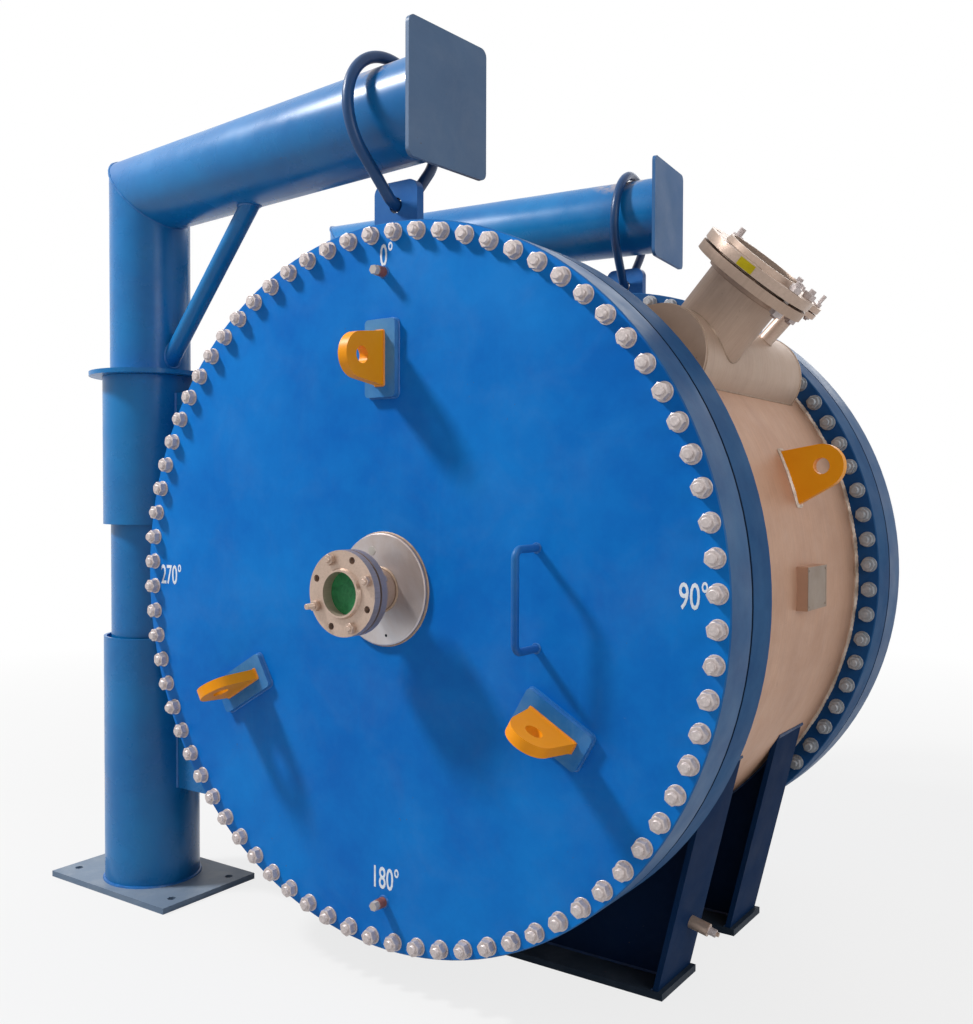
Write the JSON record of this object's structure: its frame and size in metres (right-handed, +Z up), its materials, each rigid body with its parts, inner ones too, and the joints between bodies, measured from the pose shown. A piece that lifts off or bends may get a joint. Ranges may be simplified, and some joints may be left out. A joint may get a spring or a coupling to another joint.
{
  "type": "spiral plate heat exchanger",
  "caption": "Horizontal drum heat exchanger on saddles, with flat bolted end covers hung from swinging davits and nozzle headers along its shell.",
  "frame": {"origin": "underside centre of the front saddle's foot, on the floor below the vessel's centre line", "axes": "+X to the right of the front cover, away from the davit posts; +Y from the front cover to the rear cover, along the vessel; +Z up"},
  "size_m": [2.5627, 1.8666, 2.606],
  "materials": {
    "blue_paint": "gloss enamel, dusty and scuffed",
    "stainless": "pickled stainless, warm grey and stained",
    "lug_paint": "orange-yellow enamel",
    "primer": "grey-blue primer",
    "green_sheet": "flat green sheet",
    "gasket": "dark fibre sheet"
  },
  "bodies": {
    "vessel": {"shell": "stainless", "front_body_flange": "blue_paint", "rear_body_flange": "blue_paint", "joint_gaskets": "gasket", "spiral_plates": "stainless", "core_divider": "stainless", "right_header": "stainless", "left_header": "stainless", "header_nozzles": "stainless", "header_companion_flanges": "stainless", "header_blanks": "gasket", "vent_nozzles": "stainless", "vent_blind_flanges": "stainless", "shell_lugs": "lug_paint", "nameplate_bracket": "stainless", "saddle_bases": "blue_paint", "saddle_webs": "blue_paint", "saddle_side_plates": "blue_paint", "earthing_boss": "stainless", "davit_base_plates": "primer", "davit_sleeves": "blue_paint", "sleeve_brackets": "blue_paint"},
    "front_davit": {"front_davit_post": "blue_paint", "front_davit_collar": "blue_paint", "front_davit_brace": "blue_paint", "front_arm_end_plate": "blue_paint"},
    "front_cover_assembly": {"front_cover": "blue_paint", "front_cover_eye": "blue_paint", "front_hanger_loop": "blue_paint", "front_nozzle": "stainless", "front_companion_flange": "stainless", "front_blank": "green_sheet", "front_lug_pads": "blue_paint", "front_cover_lugs": "lug_paint", "front_cover_handle": "blue_paint", "front_cover_stubs": "blue_paint"},
    "rear_davit": {"rear_davit_post": "blue_paint", "rear_davit_collar": "blue_paint", "rear_davit_brace": "blue_paint", "rear_arm_end_plate": "blue_paint"},
    "rear_cover_assembly": {"rear_cover": "blue_paint", "rear_cover_eye": "blue_paint", "rear_hanger_loop": "blue_paint", "rear_nozzle": "stainless", "rear_companion_flange": "stainless", "rear_blank": "green_sheet", "rear_lug_pads": "blue_paint", "rear_cover_lugs": "lug_paint", "rear_cover_handle": "blue_paint", "rear_cover_stubs": "blue_paint"}
  },
  "joints": [
    {"name": "front_davit_swing", "type": "hinge", "parent": "vessel", "child": "front_davit", "pos_m": [-1.232, -0.303, 0.9], "axis": [0, 0, -1], "range_deg": [0, 100]},
    {"name": "front_cover_slide", "type": "slide", "parent": "front_davit", "child": "front_cover_assembly", "axis": [0.9957, -0.0921, 0], "range_m": [0, 0.11]},
    {"name": "rear_davit_swing", "type": "hinge", "parent": "vessel", "child": "rear_davit", "pos_m": [-1.232, 0.823, 0.9], "axis": [0, 0, 1], "range_deg": [0, 100]},
    {"name": "rear_cover_slide", "type": "slide", "parent": "rear_davit", "child": "rear_cover_assembly", "axis": [0.9957, 0.0921, 0], "range_m": [0, 0.11]}
  ]
}
